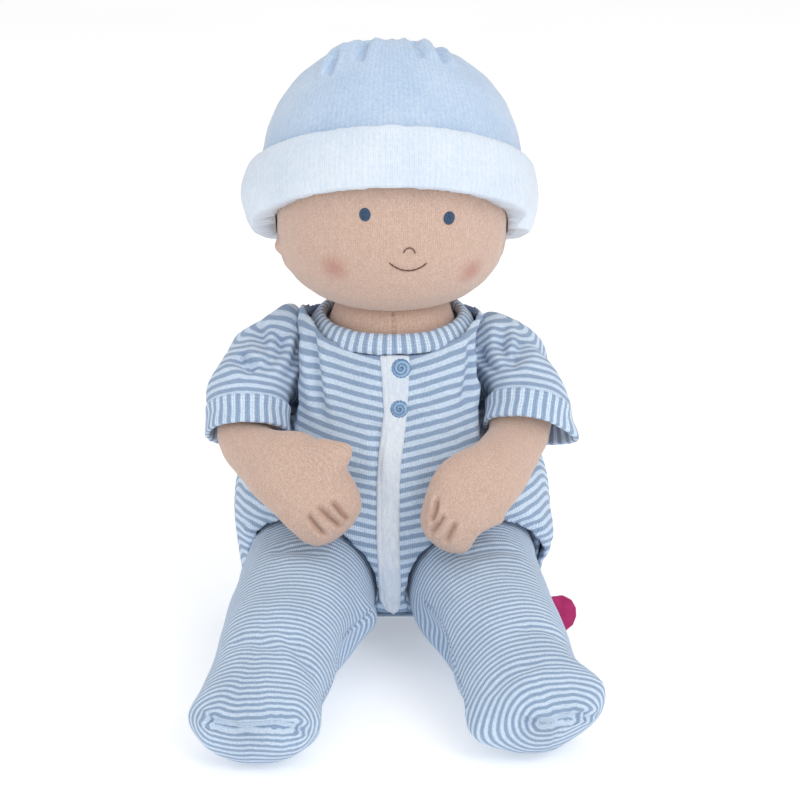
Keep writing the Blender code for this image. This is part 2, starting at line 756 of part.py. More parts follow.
def make_module():
    x, z, wide, tall = DOOR

    def door_hole(tools):
        low = MODULE + [x - wide / 2, -WALL - 1, z - tall / 2]
        high = MODULE + [x + wide / 2, 2, z + tall / 2]
        block("door_hole", None, low, high, tools)

    def speaker_holes(tools):
        for i in range(6):
            turn = i * math.pi / 3
            at = module_at(SPEAKER_AT[0] + 4.5 * math.cos(turn), -2, 4.5 * math.sin(turn))
            drum(f"speaker_hole_{i}", None, at, WALL + 4, 1.1, tools, 12, (0, -1, 0))

    def button_hole(tools):
        at = module_at(0, MODULE_DEEP - WALL - 1, 0)
        drum("button_hole", None, at, WALL + 4, BUTTON_R + GAP, tools, 32, (0, -1, 0))

    cup("module_back", 0, CASE_SPLIT - GAP / 2, "back", CASE, [door_hole, speaker_holes])
    start = CASE_SPLIT + GAP / 2
    cup("module_front", start, MODULE_DEEP - start, "front", CASE, [button_hole])
    low = MODULE + [x - wide / 2 + GAP, -WALL, z - tall / 2 + GAP]
    high = MODULE + [x + wide / 2 - GAP, 0, z + tall / 2 - GAP]
    door = block("battery_door", CASE, low, high)
    screw_hole = drum("screw_hole", None, module_at(x, -2, 0), WALL + 4, 1.4, CUTTERS, 16, (0, -1, 0))
    cut(door, screw_hole)
    head = drum("door_screw", STEEL, module_at(x, 0.2, 0), 4.2, 1.0, DOLL, 16, (0, -1, 0))
    slot = block("screw_slot", None, MODULE + [x - 1.2, -0.7, -0.2], MODULE + [x + 1.2, 1, 0.2], CUTTERS)
    cut(head, slot)
    for name, (cx, cz) in CELLS.items():
        drum(name, STEEL, module_at(cx, WALL + GAP + 0.6, cz), CELL[1], CELL[0], DOLL, 24, (0, -1, 0))
    start = module_at(SPEAKER_AT[0], WALL + GAP, SPEAKER_AT[1])
    speaker = drum("speaker", DARK, start, 4.2, SPEAKER_R, DOLL, 28, (0, -1, 0))
    magnet = drum("magnet", None, start + [0, -3.8, 0], 2.6, SPEAKER_R * 0.55, CUTTERS, 24, (0, -1, 0))
    cut(speaker, magnet, "UNION")
    drum("circuit_board", BOARD, module_at(0, 8.6, 0), 1.0, MODULE_R - WALL - GAP, DOLL, 36, (0, -1, 0))
    make_button()


def make_button():
    """A domed plunger with a flange inside the case, turned round Y, and the coil under it."""
    front = MODULE_DEEP - WALL - GAP
    profile = [
        (BUTTON_R * 0.6, front + 4.1),
        (BUTTON_R, front + 3.0),
        (BUTTON_R, front - 0.2),
        (BUTTON_R + 1.6, front - 0.2),
        (BUTTON_R + 1.6, front - 1.4),
    ]
    rings = []
    for r, along in profile:
        at = module_at(0, along, 0)
        rings.append(ring(at, np.array([1.0, 0, 0]), np.array([0, 0, 1.0]), r, r, 28))
    solid("voice_button", *loft(rings), BUTTON)
    curve = bpy.data.curves.new("button_spring", "CURVE")
    curve.dimensions = "3D"
    curve.bevel_depth = 0.3 * MM
    curve.bevel_resolution = 1
    curve.use_fill_caps = True
    coil = curve.splines.new("POLY")
    low, high = 9.6 + 0.7, front - 1.4 - 0.7
    count = 28
    coil.points.add(count - 1)
    for i, point in enumerate(coil.points):
        turn = i / (count - 1) * 3.0 * 2 * math.pi
        x, y, z = module_at(3.6 * math.cos(turn), low + (high - low) * i / (count - 1), 3.6 * math.sin(turn))
        point.co = (x * MM, (y + SHIFT_Y) * MM, z * MM, 1.0)
    finish(bpy.data.objects.new("button_spring", curve), STEEL)


make_head()
make_face()
make_neck()
make_hat()
make_trunk()
make_collar()
make_placket()
make_rosettes()
make_label()
for SIDE_NAME, SIDE in SIDES:
    make_arm(SIDE_NAME, SIDE)
    make_leg(SIDE_NAME, SIDE)
    make_gusset(f"shoulder_gusset_{SIDE_NAME}", SHOULDER[SIDE_NAME], SIDE, SLEEVE_R + 0.5, 26.0)
    make_gusset(f"hip_gusset_{SIDE_NAME}", HIP, SIDE, HIP_R + 0.5, 15.0)
make_module()
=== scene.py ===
"""Looks of a seated cloth baby doll in a striped footed romper and a turned-up hat.

Lengths are in millimetres in the row frame: +Z up, the doll faces -Y, its left side is +X.
"""

import json
import math

import bmesh
import bpy
import numpy as np
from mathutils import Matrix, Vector, noise
from mathutils.bvhtree import BVHTree

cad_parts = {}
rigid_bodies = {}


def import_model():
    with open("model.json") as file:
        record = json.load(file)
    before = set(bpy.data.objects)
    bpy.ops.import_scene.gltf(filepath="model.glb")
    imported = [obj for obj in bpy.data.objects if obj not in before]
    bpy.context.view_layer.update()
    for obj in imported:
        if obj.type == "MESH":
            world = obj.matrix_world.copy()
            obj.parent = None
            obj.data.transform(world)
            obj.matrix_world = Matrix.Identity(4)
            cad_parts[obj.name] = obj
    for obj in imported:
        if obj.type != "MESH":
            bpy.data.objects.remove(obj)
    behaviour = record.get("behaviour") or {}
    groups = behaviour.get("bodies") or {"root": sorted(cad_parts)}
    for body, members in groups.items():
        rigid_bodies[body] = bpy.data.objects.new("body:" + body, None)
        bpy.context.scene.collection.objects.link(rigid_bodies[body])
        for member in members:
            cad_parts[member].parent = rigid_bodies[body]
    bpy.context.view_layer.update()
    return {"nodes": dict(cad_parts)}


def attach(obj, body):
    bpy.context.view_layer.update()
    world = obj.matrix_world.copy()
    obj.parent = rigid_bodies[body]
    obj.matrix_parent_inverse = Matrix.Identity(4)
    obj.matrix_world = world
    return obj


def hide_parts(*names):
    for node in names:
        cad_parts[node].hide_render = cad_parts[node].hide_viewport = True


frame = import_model()

MM = 0.001
SIDES = (("right", -1), ("left", 1))

# Centre lines; x is counted outward from the middle of the doll
ARM_LINE = {
    "right": [
        (54, 54, 125), (60, 40, 122.5), (64, 31, 118), (65, 26, 112), (66.8, 18.6, 102.6), (63, 7.5, 98),
        (52.2, -3, 94.6), (43, -9, 91), (33.5, -15, 84.5), (26.8, -17, 76.5), (22, -18, 69),
    ],
    "left": [
        (52.5, 54, 125), (56.5, 40, 122.5), (59, 31, 119), (59.6, 26, 113), (60.6, 17, 102.6),
        (54, 0.8, 96.8), (45, -8.8, 92.5), (37, -12.5, 87.5), (30.5, -17.5, 80), (25.4, -19.5, 71.8),
        (21, -21, 65),
    ],
}
LEG_LINE = {
    "right": [
        (36, 26, 35), (39.5, -2, 33), (44, -28, 29.5), (49, -54, 27), (53.5, -76, 23), (56, -91, 20.5),
        (57, -105, 18.5),
    ],
    "left": [
        (36, 26, 35), (39.5, -2, 33), (44.5, -26, 29.5), (50, -50, 27), (55, -70, 23.5), (58, -84, 21.5),
        (60, -97, 19.5),
    ],
}
ARM_FACING = (0, -0.86, 0.5)  # the side of the arms that shows: forward and up
SLEEVE_BALL = 22.0  # radius of the sleeve's round top
HIP_BALL = 32.5
TOE = 16.0  # length of the rounded toe past the centre line's end
CUFF_AXIS = {"right": (0.17, -0.62, -0.77), "left": (0.14, -0.62, -0.77)}
CUFF_CENTRE = (63.5, 23.0, 108.0)
CUFF_TILT = {"right": -13.0, "left": 21.0}  # degrees that each cuff hangs out of level
LEG_PITCH = 3.7  # of the legs' stripes
MOUTH_ROWS = 1.35  # how much closer those stripes lie round the line where a foot is sewn shut
HEAD_CENTRE = (0.0, 52.0, 200.0)
NECK_CENTRE = (0.0, 54.0, 142.0)
NECK_RADIUS = 30.0
COLLAR_CENTRE = (0.0, 54.0, 148.0)
TRUNK_CENTRE = (0.0, 49.5, 0.0)
ROPE_SIDES = 8
KNIT_SLANT = 5.0  # how steeply the two legs of a knitted loop lean across its row

# Where stuffing fills a piece out or a seam draws it in: the place, the push and how far it reaches
SHAPE = {
    "romper_body": (
        ((-38, 50, 148), (-1.0, 1.0, 5.0), 16), ((38, 50, 148), (1.0, 0.6, 4.5), 16),
        ((71, 30, 51), (3.4, 0.0, 0.0), 13), ((70, 34, 36), (1.6, 0.0, 0.0), 12),
        ((-40, 50, 151), (-1.0, 0.5, 2.4), 12),
    ),
    "romper_sleeve_right": (
        ((-48, 53, 147), (1.0, 1.0, 6.0), 12), ((-71, 49, 137), (-3.0, 0.5, 1.0), 12),
        ((-76, 34, 124), (-2.0, 0.0, 0.0), 12), ((-46, 52, 151), (0.5, 0.5, 4.0), 10),
    ),
    "romper_sleeve_left": (
        ((44, 53, 147), (-1.0, 1.0, 6.0), 12), ((74, 50, 134), (-1.6, 0.0, 0.0), 12),
        ((74, 24, 128), (-2.0, 0.0, 0.0), 12), ((80, 27, 113), (4.5, -0.5, 0.0), 10),
    ),
    "romper_leg_right": (
        ((-12, -21, 29), (5.0, 0.0, 0.0), 9), ((-18, -40, 23), (-5.0, 0.0, 0.0), 11),
        ((-22, -52, 22), (-3.0, 0.0, 0.0), 11), ((-83, -103, 24), (-2.0, 0.0, -0.5), 9),
    ),
    "romper_leg_left": (
        ((12, -21, 29), (3.0, 0.0, 0.0), 8), ((16, -33, 24), (9.0, 0.0, 0.0), 12),
        ((21, -49, 23), (5.5, 0.0, 0.0), 12), ((82, -90, 31), (6.0, 0.0, 0.6), 10),
        ((83, -98, 24), (1.6, 0.0, 0.0), 8), ((78, -106, 12), (-6.5, 0.0, -0.5), 10),
        ((39, -108, 13), (-3.5, 0.0, 0.0), 9),
    ),
    "hat_brim": (((-64, 35, 214), (-3.2, 0.0, 0.0), 13), ((64, 39, 199), (-6.0, -0.6, -1.6), 9)),
    "right_arm": (
        ((-21, -20, 104), (2.5, 1.0, 5.5), 11), ((-42, -5, 106), (2.0, 1.0, 4.5), 13),
        ((-72, -1, 97), (4.5, 0.0, 0.5), 14), ((-31, -13, 104), (0.5, 1.0, 4.5), 8),
    ),
    "left_arm": (
        ((57, 8, 99), (-8.5, -1.5, 0.0), 17), ((46, -6, 95), (-3.5, -1.5, 0.5), 12),
        ((32, -15, 95), (-5.0, -1.0, 1.5), 15), ((47, -20, 75), (2.5, 0.0, 0.0), 6),
        ((42, -20, 69), (-4.5, 0.0, 1.0), 8),
    ),
}


# Meshes


def points_of(obj):
    flat = np.empty(len(obj.data.vertices) * 3, np.float32)
    obj.data.vertices.foreach_get("co", flat)
    return flat.reshape(-1, 3).astype(float) / MM


def set_points(obj, points):
    obj.data.vertices.foreach_set("co", (points * MM).astype(np.float32).ravel())
    obj.data.update()


def normals_of(obj):
    flat = np.empty(len(obj.data.vertices) * 3, np.float32)
    obj.data.vertex_normals.foreach_get("vector", flat)
    return flat.reshape(-1, 3).astype(float)


def unit(rows):
    rows = np.asarray(rows, float)
    return rows / np.maximum(np.linalg.norm(rows, axis=-1, keepdims=True), 1e-9)


def spread(obj, values, rounds):
    """Values at the points, each drawn half way to its neighbours' mean this many times."""
    ends = np.empty(len(obj.data.edges) * 2, np.int32)
    obj.data.edges.foreach_get("vertices", ends)
    a, b = ends[0::2], ends[1::2]
    count = len(values)
    share = np.maximum(np.bincount(a, minlength=count) + np.bincount(b, minlength=count), 1)
    values = values.copy()
    for _ in range(rounds):
        for k in range(values.shape[1]):
            total = np.bincount(a, values[b, k], count) + np.bincount(b, values[a, k], count)
            values[:, k] += 0.5 * (total / share - values[:, k])
    return values


def fair(obj, rounds):
    """Rounds off the facets and keeps the size."""
    points = points_of(obj)
    rounded = spread(obj, points, rounds)
    set_points(obj, rounded + spread(obj, points - rounded, rounds * 2))


def soft(node, name, voxel, rounds):
    """A fine, rounded copy of a CAD node, to be shaped further, which stands for it."""
    mesh = frame["nodes"][node].data.copy()
    mesh.materials.clear()
    obj = bpy.data.objects.new(name, mesh)
    bpy.context.scene.collection.objects.link(obj)
    remesh = obj.modifiers.new("remesh", "REMESH")
    remesh.mode = "VOXEL"
    remesh.voxel_size = voxel * MM
    graph = bpy.context.evaluated_depsgraph_get()
    fine = bpy.data.meshes.new_from_object(obj.evaluated_get(graph))
    obj.modifiers.clear()
    obj.data = fine
    fine.name = name
    fine.shade_smooth()
    fair(obj, rounds)
    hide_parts(node)
    return obj


def grid_mesh(name, rows, closed=False, capped=False):
    """An object from a grid of points; each row may close on itself."""
    rows = np.asarray(rows, float)
    n, m = rows.shape[:2]
    faces = []
    for i in range(n - 1):
        for j in range(m if closed else m - 1):
            k = (j + 1) % m
            faces.append((i * m + j, i * m + k, (i + 1) * m + k, (i + 1) * m + j))
    if capped:
        faces += [tuple(reversed(range(m))), tuple(range((n - 1) * m, n * m))]
    mesh = bpy.data.meshes.new(name)
    mesh.from_pydata([tuple(p) for p in rows.reshape(-1, 3) * MM], [], faces)
    edit = bmesh.new()
    edit.from_mesh(mesh)
    bmesh.ops.recalc_face_normals(edit, faces=edit.faces)
    edit.to_mesh(mesh)
    edit.free()
    mesh.shade_smooth()
    obj = bpy.data.objects.new(name, mesh)
    bpy.context.scene.collection.objects.link(obj)
    return obj


def tube(name, line, radii):
    """A closed rope along a line, as thick at each point as its radius says."""
    line = np.asarray(line, float)
    along = unit(np.gradient(line, axis=0))
    side = unit(np.cross(along, (0.12, 1.0, 0.21)))
    over = np.cross(along, side)
    turn = np.arange(ROPE_SIDES) * 2 * math.pi / ROPE_SIDES
    rows = [
        p + np.outer(np.cos(turn) * r, s) + np.outer(np.sin(turn) * r, o)
        for p, r, s, o in zip(line, radii, side, over)
    ]
    return grid_mesh(name, rows, closed=True, capped=True)


def join(name, objects):
    """One object from several."""
    for obj in bpy.context.view_layer.objects:
        obj.select_set(obj in objects)
    bpy.context.view_layer.objects.active = objects[0]
    bpy.ops.object.join()
    objects[0].name = name
    objects[0].data.name = name
    return objects[0]


def store(obj, name, rows):
    """Keeps a vector at each point, for the material to read."""
    attribute = obj.data.attributes.new(name, "FLOAT_VECTOR", "POINT")
    attribute.data.foreach_set("vector", np.asarray(rows, np.float32).ravel())


def curved(stations, steps):
    """Catmull-Rom points through a few given ones, with this many steps from one to the next."""
    rows = np.asarray(stations, float)
    ends = np.vstack([2 * rows[0] - rows[1], rows, 2 * rows[-1] - rows[-2]])
    out = []
    for i in range(1, len(ends) - 2):
        p0, p1, p2, p3 = ends[i - 1 : i + 3]
        for t in np.arange(steps) / steps:
            bend = (2 * p0 - 5 * p1 + 4 * p2 - p3) * t**2 + (3 * p1 - p0 - 3 * p2 + p3) * t**3
            out.append(0.5 * (2 * p1 + (p2 - p0) * t + bend))
    return np.array([*out, rows[-1]])


def sided(stations, side):
    """Places counted outward from the middle, on one side of the doll."""
    return np.asarray(stations, float) * [side, 1.0, 1.0]


def beside(points, line):
    """Each point's distance from a line, how far along it is, the line's nearest point and its length."""
    best = np.full(len(points), 1e9)
    run = np.zeros(len(points))
    near = np.zeros((len(points), 3))
    start = 0.0
    for a, b in zip(line[:-1], line[1:]):
        length = np.linalg.norm(b - a)
        share = np.clip((points - a) @ (b - a) / length**2, 0, 1)
        at = a + share[:, None] * (b - a)
        gap = np.linalg.norm(points - at, axis=1)
        closer = gap < best
        best[closer], near[closer] = gap[closer], at[closer]
        run[closer] = (start + share * length)[closer]
        start += length
    return best, run, near, start


def ease(x):
    """A soft step from 0 to 1."""
    x = np.clip(x, 0, 1)
    return x * x * (3 - 2 * x)


def bell(x, width):
    return np.exp(-((x / width) ** 2))


def laid(points, stations):
    """A line through a few stations, laid on the cloth."""
    return np.array([points[np.argmin(((points - p) ** 2).sum(1))] for p in curved(stations, 6)])


def crease(points, out, stations, width, depth, lip=0.35, stitch=0.0, fade=0.2):
    """Presses a line into cloth, with a soft lip on both sides; a stitched line is pinched at each stitch."""
    line = laid(points, stations)
    line[1:-1] = (line[:-2] + 2 * line[1:-1] + line[2:]) / 4
    gap, run, _, length = beside(points, line)
    ends = ease(run / (fade * length)) * ease((length - run) / (fade * length)) if fade else 1.0
    dip = bell(gap, width)
    raised = bell(gap - 2.1 * width, 1.1 * width)
    pinch = 1 + 0.45 * np.cos(run * 2 * math.pi / stitch) if stitch else 1.0
    points += out * (depth * ends * (lip * raised - dip * pinch))[:, None]


def swell(points, push, centre, radius):
    """Moves what lies near a centre."""
    gap = np.linalg.norm(points - np.asarray(centre, float), axis=1)
    points += bell(gap, radius)[:, None] * np.asarray(push, float)


def shape(points, piece):
    """Brings a piece to the outline that the stuffing and the way the doll sits give it."""
    for centre, push, radius in SHAPE.get(piece, ()):
        swell(points, push, centre, radius)


def hang(points, name, side, share):
    """Turns the open end of a sleeve in the plane of the chest."""
    away = points - sided(CUFF_CENTRE, side)
    turn = math.radians(CUFF_TILT[name]) * share
    points[:, 0] += away[:, 0] * (np.cos(turn) - 1) + away[:, 2] * np.sin(turn)
    points[:, 2] += away[:, 2] * (np.cos(turn) - 1) - away[:, 0] * np.sin(turn)


def lumps(points, out, size, height, seed):
    """Broad unevenness, as stuffing gives."""
    at = points / size + seed * 7.3
    rise = np.array([noise.noise(Vector(p)) for p in at])
    points += out * (rise * height)[:, None]


def limb_weave(points, line, facing=(0.0, 0.0, 1.0), cap=0.0):
    """Across, over and along the cloth of a limb, and the direction away from its centre line.

    With a cap, the rows go on over the rounded end, which is that long.
    """
    steps = 8
    fine = curved(line, steps)
    _, run, near, length = beside(points, fine)
    along = unit(np.gradient(fine, axis=0))
    every = steps // 2
    index = np.argmin(np.linalg.norm(near[:, None, :] - fine[None, ::every, :], axis=2), axis=1)
    tangent = along[::every][index]
    across = unit(np.cross(tangent, facing))
    over = np.cross(across, tangent)
    away = points - near
    if cap:
        past = np.clip((points - fine[-1]) @ along[-1] / cap, 0, 1)
        run = np.where(run > length - 1e-3, length + cap * np.arcsin(past), run)
    before = (points - fine[0]) @ along[0]
    run = np.where(before < 0, before, run)
    away = away - tangent * (away * tangent).sum(1, keepdims=True)
    weave = np.stack([(away * across).sum(1), (away * over).sum(1), run], 1)
    return weave, unit(away)


# Materials


class Shade:
    """A material whose nodes are made one call at a time."""

    def __init__(self, name, roughness, sheen=0.0, sheen_roughness=0.5, specular=0.3, **more):
        self.material = bpy.data.materials.new(name)
        self.material.use_nodes = True
        self.tree = self.material.node_tree
        self.shader = self.tree.nodes["Principled BSDF"]
        sockets = self.shader.inputs
        sockets["Roughness"].default_value = roughness
        sockets["Sheen Weight"].default_value = sheen
        sockets["Sheen Roughness"].default_value = sheen_roughness
        sockets["Specular IOR Level"].default_value = specular
        for key, value in more.items():
            sockets[key.replace("_", " ")].default_value = value
        at = self.node("TexCoord").outputs["Object"]
        self.at = self.vector("SCALE", at, scale=1 / MM)

    def feed(self, socket, value):
        if isinstance(value, bpy.types.NodeSocket):
            self.tree.links.new(value, socket)
        elif value is not None:
            socket.default_value = value

    def node(self, kind, **settings):
        made = self.tree.nodes.new("ShaderNode" + kind)
        for key, value in settings.items():
            setattr(made, key, value)
        return made

    def math(self, operation, a, b=None, c=None):
        made = self.node("Math", operation=operation)
        for socket, value in zip(made.inputs, (a, b, c)):
            self.feed(socket, value)
        return made.outputs[0]

    def vector(self, operation, a, b=None, scale=None):
        made = self.node("VectorMath", operation=operation)
        self.feed(made.inputs[0], a)
        self.feed(made.inputs[1], b)
        if scale is not None:
            self.feed(made.inputs["Scale"], scale)
        return made.outputs["Value" if operation in ("DISTANCE", "LENGTH") else "Vector"]

    def noise(self, size, detail, stretch=None):
        at = self.vector("MULTIPLY", self.at, stretch) if stretch else self.at
        made = self.node("TexNoise")
        self.feed(made.inputs["Vector"], at)
        made.inputs["Scale"].default_value = 1 / size
        made.inputs["Detail"].default_value = detail
        return made.outputs["Fac"]

    def ramp(self, value, low, high, out_low=0.0, out_high=1.0):
        made = self.node("MapRange", interpolation_type="SMOOTHSTEP")
        ends = {"From Min": low, "From Max": high, "To Min": out_low, "To Max": out_high}
        for key, one in {"Value": value, **ends}.items():
            self.feed(made.inputs[key], one)
        return made.outputs["Result"]

    def mix(self, share, a, b, blend="MIX"):
        made = self.node("Mix", data_type="RGBA", blend_type=blend)
        self.feed(made.inputs[0], share)
        for socket, value in ((made.inputs[6], a), (made.inputs[7], b)):
            self.feed(socket, value if isinstance(value, bpy.types.NodeSocket) else (*value, 1.0))
        return made.outputs[2]

    def weave(self, columns, course):
        """The knit: the height of its loops, the place in a loop, the turn round the piece and the run."""
        parts = self.node("SeparateXYZ")
        self.feed(parts.inputs[0], self.node("Attribute", attribute_name="weave").outputs["Vector"])
        x, y, run = parts.outputs
        turn = self.math("MULTIPLY", self.math("ARCTAN2", y, x), 1 / (2 * math.pi))
        column = self.math("FRACT", self.math("MULTIPLY", turn, float(columns)))
        lean = self.math("ABSOLUTE", self.math("SUBTRACT", column, 0.5))
        ridge = self.math("SINE", self.math("MULTIPLY", column, math.pi))
        row = self.math("MULTIPLY", run, 2 * math.pi / course)
        row = self.math("ADD", row, self.math("MULTIPLY", lean, KNIT_SLANT))
        loop = self.math("MULTIPLY_ADD", self.math("SINE", row), 0.3, 0.7)
        return self.math("MULTIPLY", ridge, loop), lean, turn, run

    def finish(self, colour, height, strength, distance=0.3):
        bump = self.node("Bump")
        bump.inputs["Strength"].default_value = strength
        bump.inputs["Distance"].default_value = distance * MM
        self.feed(bump.inputs["Height"], height)
        self.feed(self.shader.inputs["Base Color"], colour)
        self.feed(self.shader.inputs["Normal"], bump.outputs["Normal"])
        return self.material


def tint(red, green, blue):
    """Linear colour from 0 to 255 display values."""
    def one(v):
        v = v / 255
        return v / 12.92 if v <= 0.04045 else ((v + 0.055) / 1.055) ** 2.4
    return one(red), one(green), one(blue)


def striped(name, pitch, dark, light, columns, around=0):
    """Single jersey in two colours; its stripes follow the rows, or this many of them cross the rows."""
    s = Shade(name, 0.92, sheen=0.25, specular=0.2)
    height, lean, turn, run = s.weave(columns, 0.75)
    wander = s.math("MULTIPLY_ADD", s.noise(9.0, 3.0), 0.22, -0.11)
    if around:
        phase = s.math("MULTIPLY", turn, float(around))
    else:
        jag = s.math("MULTIPLY", lean, 0.9 / pitch)
        phase = s.math("ADD", s.math("MULTIPLY", run, 1 / pitch), jag)
    phase = s.math("ADD", phase, wander)
    wave = s.math("SINE", s.math("MULTIPLY", phase, 2 * math.pi))
    mask = s.ramp(wave, -0.28, 0.28)
    colour = s.mix(mask, dark, light)
    mottle = s.ramp(s.noise(0.7, 2.0), 0.25, 0.75, 0.86, 1.1)
    broad = s.ramp(s.noise(22.0, 2.0), 0.3, 0.7, 0.96, 1.03)
    # Painted shade: the colour darkens in the hollows between the knit loops. It multiplies with the
    # melange's own mottled tone below.
    loops = s.ramp(height, 0.0, 0.8, 0.82, 1.06)
    tone_and_loop_shade = s.math("MULTIPLY", s.math("MULTIPLY", mottle, broad), loops)
    colour = s.mix(1.0, colour, grey(s, tone_and_loop_shade), "MULTIPLY")
    fuzz = s.math("MULTIPLY_ADD", s.noise(0.45, 2.0), 0.5, height)
    return s.finish(colour, fuzz, 0.55, 0.35)


def grey(s, value):
    """A colour from one number."""
    made = s.node("CombineColor")
    for socket in made.inputs:
        s.feed(socket, value)
    return made.outputs[0]


def skin(name, columns, blush=()):
    """Brushed knit in a warm tan, with rosy patches."""
    s = Shade(name, 0.95, sheen=0.35, specular=0.15)
    height, _, _, _ = s.weave(columns, 0.9)
    fleece = s.noise(0.6, 3.0)
    streak = s.noise(1.1, 2.0, stretch=(1.0, 1.0, 0.35))
    colour = s.mix(s.ramp(fleece, 0.3, 0.7), tint(199, 167, 150), tint(220, 194, 179))
    colour = s.mix(s.ramp(streak, 0.35, 0.75, 0.0, 0.35), colour, tint(190, 155, 137))
    for centre, radius in blush:
        gap = s.vector("DISTANCE", s.at, centre)
        ragged = s.math("MULTIPLY_ADD", s.noise(2.0, 2.0), 2.6, gap)
        colour = s.mix(s.ramp(ragged, radius * 2.4, radius * 0.4, 0.0, 0.55), colour, tint(180, 116, 104))
    # Painted shade: the colour darkens a little in the hollows between the knit loops.
    loops = s.ramp(height, 0.0, 0.8, 0.93, 1.03)
    colour = s.mix(1.0, colour, grey(s, loops), "MULTIPLY")
    return s.finish(colour, s.math("MULTIPLY_ADD", fleece, 0.8, height), 0.4, 0.3)


def velour(name, dark, light, columns, ribs):
    """Short pile with slubby ribs that run up the cloth."""
    s = Shade(name, 0.9, sheen=0.7, sheen_roughness=0.35, specular=0.15)
    height, _, turn, _ = s.weave(columns, 1.1)
    slub = s.noise(1.3, 3.0, stretch=(1.0, 1.0, 0.3))
    rib = s.math("SINE", s.math("MULTIPLY", turn, 2 * math.pi * ribs))
    tone_and_painted_shade = s.math("MULTIPLY_ADD", s.noise(30.0, 2.0), 0.9, s.math("MULTIPLY", s.noise(0.8, 2.0), 0.5))
    # Painted shade: rib crests a little lighter, rib hollows a little darker, on top of the yarn's own
    # slubby, uneven tone.
    tone_and_painted_shade = s.math("MULTIPLY_ADD", rib, 0.07, s.math("ADD", tone_and_painted_shade, slub))
    colour = s.mix(s.ramp(tone_and_painted_shade, 0.75, 1.65), dark, light)
    pile = s.math("MULTIPLY_ADD", rib, 0.25, s.math("MULTIPLY_ADD", s.noise(0.5, 3.0), 0.9, height))
    return s.finish(colour, pile, 0.5, 0.35)


def thread(name, dark, light, pitch, lean=(1.0, 0.2, 0.6)):
    """Embroidery or crochet thread: fine twisted strands with a slight shine."""
    s = Shade(name, 0.6, sheen=0.2, specular=0.4)
    run = s.node("VectorMath", operation="DOT_PRODUCT")
    s.feed(run.inputs[0], s.at)
    run.inputs[1].default_value = lean
    strand = s.math("SINE", s.math("MULTIPLY", run.outputs["Value"], 2 * math.pi / pitch))
    # Painted shade: darker between the twisted strands, lighter on them, on top of the thread's own uneven
    # tone.
    tone_and_painted_shade = s.math("MULTIPLY_ADD", strand, 0.25, s.noise(0.8, 2.0))
    return s.finish(s.mix(s.ramp(tone_and_painted_shade, 0.2, 0.8), dark, light), strand, 0.5, 0.15)


def plain_weave(name, dark, light, pitch):
    """Tape or plain cloth: threads over and under each other."""
    s = Shade(name, 0.88, sheen=0.15, specular=0.25)
    parts = s.node("SeparateXYZ")
    s.feed(parts.inputs[0], s.at)
    x, y, z = parts.outputs
    strands = []
    for along in (x, z):
        run = s.math("ADD", along, s.math("MULTIPLY", y, 0.7))
        strands.append(s.math("SINE", s.math("MULTIPLY", run, 2 * math.pi / pitch)))
    over = s.math("MULTIPLY_ADD", s.math("MULTIPLY", *strands), 0.5, 0.5)
    # Painted shade: lighter where a thread lies on top, darker where it goes under, on top of the cloth's own
    # uneven tone.
    tone_and_painted_shade = s.math("MULTIPLY_ADD", over, 0.4, s.math("MULTIPLY", s.noise(5.0, 3.0), 0.6))
    return s.finish(s.mix(s.ramp(tone_and_painted_shade, 0.2, 0.8), dark, light), over, 0.5, 0.2)


def moulded(name, dark, light, roughness, metallic=0.0):
    """Moulded plastic or plated metal with a fine grain and slight marks."""
    s = Shade(name, roughness, specular=0.5, Metallic=metallic)
    marks = s.noise(7.0, 4.0)
    colour = s.mix(s.ramp(marks, 0.3, 0.7), dark, light)
    wear = s.ramp(s.noise(3.0, 4.0), 0.35, 0.7, roughness * 0.8, min(1.0, roughness * 1.25))
    s.feed(s.shader.inputs["Roughness"], wear)
    grain = s.noise(0.25, 2.0)
    return s.finish(colour, grain, 0.25, 0.05)


